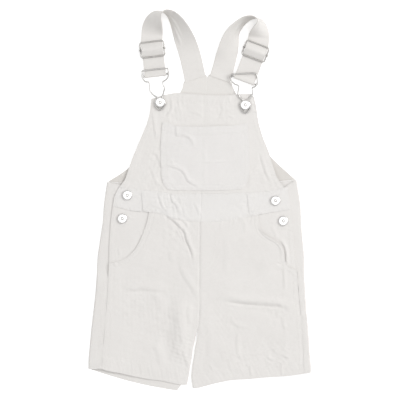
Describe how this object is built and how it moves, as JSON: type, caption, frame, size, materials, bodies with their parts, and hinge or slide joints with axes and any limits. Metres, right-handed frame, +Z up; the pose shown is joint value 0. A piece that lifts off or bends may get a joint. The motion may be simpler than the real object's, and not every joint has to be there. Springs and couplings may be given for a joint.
{
  "type": "child shortalls",
  "caption": "Child's bib shortalls in heavy twill laid flat, front up: pocketed bib, waistband, short legs, shoulder straps looped to the back with wire slides and clasps on shank buttons.",
  "frame": {"origin": "centre of the outline, on the plane of the table under the garment", "axes": "+X across to the viewer's right, +Y along the centre line from the leg hems to the shoulder straps, +Z up from the table through the back to the front"},
  "size_m": [0.3294, 0.5626, 0.0321],
  "materials": {
    "twill": "heavy off-white cotton twill, unworn",
    "nickel": "nickel-plated wire",
    "button_metal": "plain pressed shank buttons"
  },
  "bodies": {
    "root": {"bib_left": "twill", "bib_right": "twill", "bib_pocket": "twill", "waistband_left": "twill", "waistband_right": "twill", "belt_loop_left": "twill", "belt_loop_right": "twill", "front_leg_left": "twill", "front_leg_right": "twill", "hip_piece_left": "twill", "hip_piece_right": "twill", "back_bib_left": "twill", "back_bib_right": "twill", "back_leg_left": "twill", "back_leg_right": "twill", "strap_left": "twill", "strap_right": "twill", "slide_left": "nickel", "slide_right": "nickel", "clasp_left": "nickel", "clasp_right": "nickel", "bib_button_left": "button_metal", "bib_button_right": "button_metal", "side_button_left_upper": "button_metal", "side_button_left_lower": "button_metal", "side_button_right_upper": "button_metal", "side_button_right_lower": "button_metal"}
  },
  "joints": []
}
